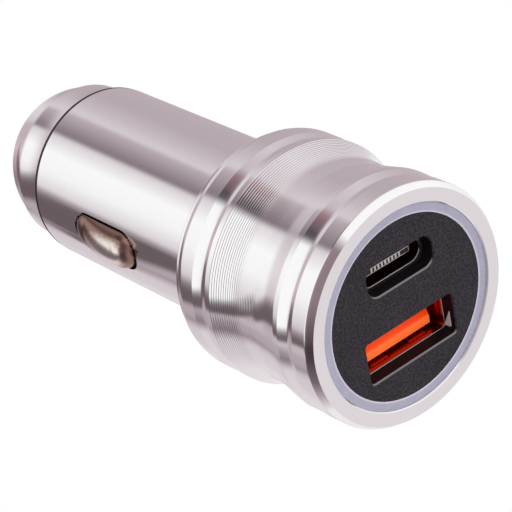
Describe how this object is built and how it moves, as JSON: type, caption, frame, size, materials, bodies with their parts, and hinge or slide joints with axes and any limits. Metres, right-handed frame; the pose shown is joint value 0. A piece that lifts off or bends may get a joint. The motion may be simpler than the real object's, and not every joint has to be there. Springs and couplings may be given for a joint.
{
  "type": "car usb charger plug",
  "caption": "Metal charger plug for a car power socket: waisted head with a lit ring and charging ports, slim barrel with sprung side contacts, domed tail with a sprung centre contact.",
  "frame": {"origin": "on the plug's axis, in the back face of the stop flange that meets the rim of the car's socket", "axes": "+Y along the axis from the port face to the tail, +Z from the larger port to the smaller one, +X to the right as seen from the face"},
  "size_m": [0.0284, 0.0681, 0.0284],
  "materials": {
    "turned_aluminium": "fine turned, bright",
    "black_nylon": "moulded, matt",
    "nickel_plate": "bright nickel plate",
    "spring_steel": "drawn wire",
    "brass_sheet": "stamped sheet",
    "board_laminate": "solder resist",
    "moulded_ferrite": "moulded",
    "capacitor_can": "drawn can",
    "tan_ceramic": "fired ceramic",
    "lamp_lens": "clear lens",
    "light_guide": "milky, translucent",
    "black_face": "fine spark texture",
    "shell_steel": "nickel-plated sheet",
    "orange_plastic": "moulded, satin",
    "gold_plate": "gold flash",
    "black_tongue": "moulded, satin"
  },
  "bodies": {
    "housing": {"head_shell": "turned_aluminium", "barrel_tube": "turned_aluminium", "tail_cap": "turned_aluminium", "tail_insulator": "black_nylon", "contact_spring": "spring_steel", "positive_terminal": "brass_sheet", "board_carrier": "black_nylon", "circuit_board": "board_laminate", "port_board": "board_laminate", "power_inductor": "moulded_ferrite", "controller_chip": "moulded_ferrite", "input_capacitor": "capacitor_can", "output_capacitor": "capacitor_can", "ceramic_capacitors": "tan_ceramic", "status_lamps": "lamp_lens", "light_ring": "light_guide", "face_plate": "black_face", "usb_a_shell": "shell_steel", "usb_a_tongue": "orange_plastic", "usb_a_contacts": "gold_plate", "usb_c_shell": "shell_steel", "usb_c_tongue": "black_tongue", "usb_c_contacts": "gold_plate"},
    "centre_pin": {"centre_contact": "nickel_plate"},
    "left_contact": {"ground_contact_left": "nickel_plate"},
    "right_contact": {"ground_contact_right": "nickel_plate"}
  },
  "joints": [
    {"name": "centre_press", "type": "slide", "parent": "housing", "child": "centre_pin", "axis": [0, -1, 0], "range_m": [0, 0.0025], "stiffness_N_per_m": 1500, "springref_m": -0.0015, "deforming": ["contact_spring"]},
    {"name": "left_press", "type": "hinge", "parent": "housing", "child": "left_contact", "pos_m": [-0.0088, 0.0243, 0], "axis": [0, 0, 1], "range_deg": [0, 8], "stiffness_Nm_per_rad": 0.2, "springref_deg": -2.86},
    {"name": "right_press", "type": "hinge", "parent": "housing", "child": "right_contact", "pos_m": [0.0088, 0.0243, 0], "axis": [0, 0, -1], "range_deg": [0, 8], "stiffness_Nm_per_rad": 0.2, "springref_deg": -2.86}
  ]
}
